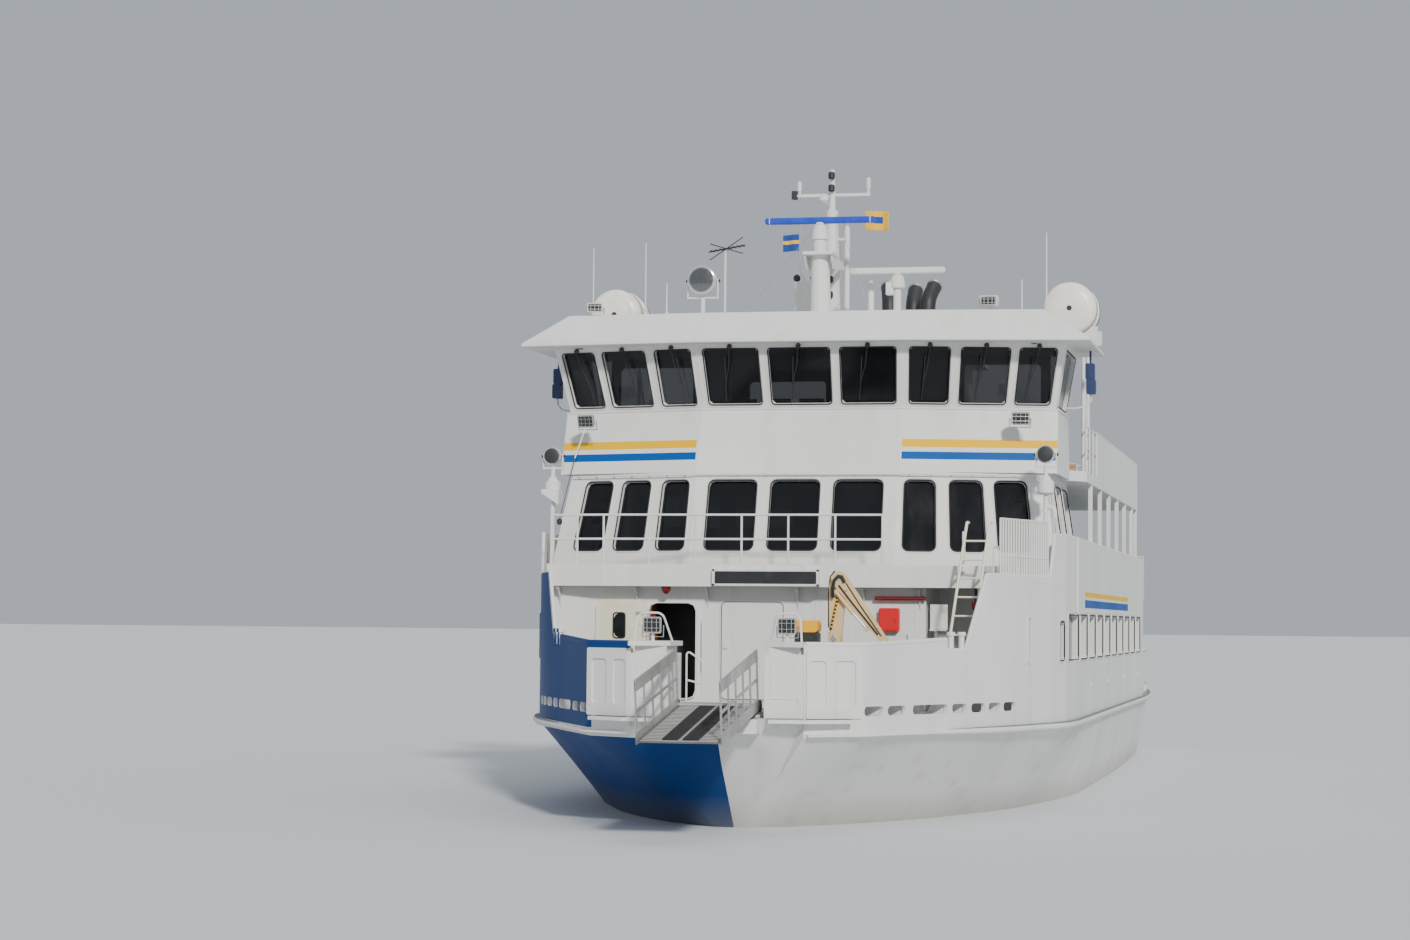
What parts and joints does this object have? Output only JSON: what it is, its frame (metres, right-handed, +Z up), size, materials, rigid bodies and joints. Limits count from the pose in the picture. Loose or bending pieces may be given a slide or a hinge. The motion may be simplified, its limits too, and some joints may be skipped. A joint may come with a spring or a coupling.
{
  "type": "passenger ferry",
  "caption": "Decked passenger ferry, afloat, with bow gangway ramp and door, raked saloon front, full-width wheelhouse, deck crane, radar mast, liferafts and sun deck.",
  "frame": {"origin": "amidships on the centreline at the waterline", "axes": "+X forward to the bow, +Y to port, +Z up"},
  "size_m": [38.5173, 10.7, 14.92],
  "materials": {
    "white_paint": "gloss white marine paint",
    "blue_paint": "gloss blue marine paint outside, white inside",
    "ramp_metal": "bare weathered aluminium with dark anti-slip strips",
    "door_cream": "cream gloss paint",
    "dark_glass": "near-black tinted glass",
    "flag_cloth": "woven polyester flag cloth",
    "scanner_blue": "blue gloss scanner shell with white ends",
    "raft_shell": "white glass-fibre drum",
    "sign_black": "blank black display board",
    "ladder_cream": "off-white paint",
    "lamp_white": "white paint with dark lamp glass",
    "console_black": "matt black console",
    "seat_cloth": "dark blue seat cloth",
    "crane_cream": "worn cream paint",
    "bronze": "cast bronze"
  },
  "bodies": {
    "ship": {"hull": "white_paint", "bow_plating_port": "white_paint", "bow_plating_starboard": "blue_paint", "bow_block_port": "white_paint", "bow_block_starboard": "white_paint", "front_bulkhead": "white_paint", "main_side_port": "white_paint", "main_side_starboard": "white_paint", "main_glass_port": "dark_glass", "main_glass_starboard": "dark_glass", "main_aft_wall": "white_paint", "upper_deck": "white_paint", "front_rail": "white_paint", "saloon_front": "white_paint", "saloon_side_port": "white_paint", "saloon_side_starboard": "white_paint", "saloon_glass": "dark_glass", "saloon_aft_wall": "white_paint", "upper_bulwark_port": "white_paint", "upper_bulwark_starboard": "white_paint", "aft_stairs": "white_paint", "sun_deck_stairs": "white_paint", "sun_deck": "white_paint", "bridge_band": "white_paint", "wheelhouse_front": "white_paint", "wheelhouse_glass": "dark_glass", "wheelhouse_aft": "white_paint", "wheelhouse_roof": "white_paint", "mast": "white_paint", "flag_starboard": "flag_cloth", "flag_port": "flag_cloth", "raft_stand_port": "white_paint", "raft_stand_starboard": "white_paint", "raft_port": "raft_shell", "raft_starboard": "raft_shell", "funnel": "white_paint", "sun_bulwark_port": "white_paint", "sun_bulwark_starboard": "white_paint", "sign_board": "sign_black", "foredeck_ladder": "ladder_cream", "lamp_post_port": "lamp_white", "lamp_post_starboard": "lamp_white", "stern_bulwark": "white_paint", "bridge_console": "console_black", "saloon_seats": "seat_cloth", "crane_base": "crane_cream"},
    "gangway_ramp_body": {"gangway_ramp": "ramp_metal"},
    "bow_door_body": {"bow_door": "door_cream"},
    "main_aft_door_body": {"main_aft_door": "door_cream"},
    "saloon_aft_door_body": {"saloon_aft_door": "door_cream"},
    "wheelhouse_door_body": {"wheelhouse_door": "door_cream"},
    "radar_scanner_high_body": {"radar_scanner_high": "scanner_blue"},
    "radar_scanner_low_body": {"radar_scanner_low": "white_paint"},
    "crane_column_body": {"crane_column": "crane_cream"},
    "crane_boom_body": {"crane_boom": "crane_cream"},
    "crane_jib_body": {"crane_jib": "crane_cream"},
    "propeller_port_body": {"propeller_port": "bronze"},
    "propeller_starboard_body": {"propeller_starboard": "bronze"},
    "rudder_port_body": {"rudder_port": "white_paint"},
    "rudder_starboard_body": {"rudder_starboard": "white_paint"}
  },
  "joints": [
    {"name": "ramp_hinge", "type": "hinge", "parent": "ship", "child": "gangway_ramp_body", "pos_m": [17.5, 0, 2.04], "axis": [0, 1, 0], "range_deg": [-95, 5]},
    {"name": "bow_door_hinge", "type": "hinge", "parent": "ship", "child": "bow_door_body", "pos_m": [12.205, -2.47, 2.8], "axis": [0, 0, 1], "range_deg": [0, 180]},
    {"name": "main_aft_door_hinge", "type": "hinge", "parent": "ship", "child": "main_aft_door_body", "pos_m": [-11.05, -0.49, 2.7], "axis": [0, 0, 1], "range_deg": [0, 175]},
    {"name": "saloon_aft_door_hinge", "type": "hinge", "parent": "ship", "child": "saloon_aft_door_body", "pos_m": [5.65, -0.49, 5.1], "axis": [0, 0, 1], "range_deg": [0, 175]},
    {"name": "wheelhouse_door_hinge", "type": "hinge", "parent": "ship", "child": "wheelhouse_door_body", "pos_m": [4.75, 0.66, 7.3], "axis": [0, 0, 1], "range_deg": [0, 175]},
    {"name": "crane_slew", "type": "hinge", "parent": "ship", "child": "crane_column_body", "pos_m": [15.8, 1.6, 2.6], "axis": [0, 0, 1], "range_deg": [-170, 170]},
    {"name": "crane_boom_luff", "type": "hinge", "parent": "crane_column_body", "child": "crane_boom_body", "pos_m": [15.8, 1.6, 3.12], "axis": [1, 0, 0], "range_deg": [-60, 0]},
    {"name": "crane_jib_fold", "type": "hinge", "parent": "crane_boom_body", "child": "crane_jib_body", "pos_m": [15.8, 1.66, 4.12], "axis": [1, 0, 0], "range_deg": [0, 140]},
    {"name": "radar_high_spin", "type": "hinge", "parent": "ship", "child": "radar_scanner_high_body", "pos_m": [8.5, 0, 11.1], "axis": [0, 0, 1], "continuous": true},
    {"name": "radar_low_spin", "type": "hinge", "parent": "ship", "child": "radar_scanner_low_body", "pos_m": [8.5, 1.51, 10.1], "axis": [0, 0, 1], "continuous": true},
    {"name": "propeller_port_spin", "type": "hinge", "parent": "ship", "child": "propeller_port_body", "pos_m": [-14.5, 2, -1.5], "axis": [1, 0, 0], "continuous": true},
    {"name": "propeller_starboard_spin", "type": "hinge", "parent": "ship", "child": "propeller_starboard_body", "pos_m": [-14.5, -2, -1.5], "axis": [1, 0, 0], "continuous": true},
    {"name": "rudder_port_steer", "type": "hinge", "parent": "ship", "child": "rudder_port_body", "pos_m": [-15.9, 2, -1.5], "axis": [0, 0, 1], "range_deg": [-35, 35]},
    {"name": "rudder_starboard_steer", "type": "hinge", "parent": "ship", "child": "rudder_starboard_body", "pos_m": [-15.9, -2, -1.5], "axis": [0, 0, 1], "range_deg": [-35, 35]}
  ],
  "couplings": [
    {"joint": "rudder_starboard_steer", "follows": "rudder_port_steer", "ratio": 1}
  ]
}
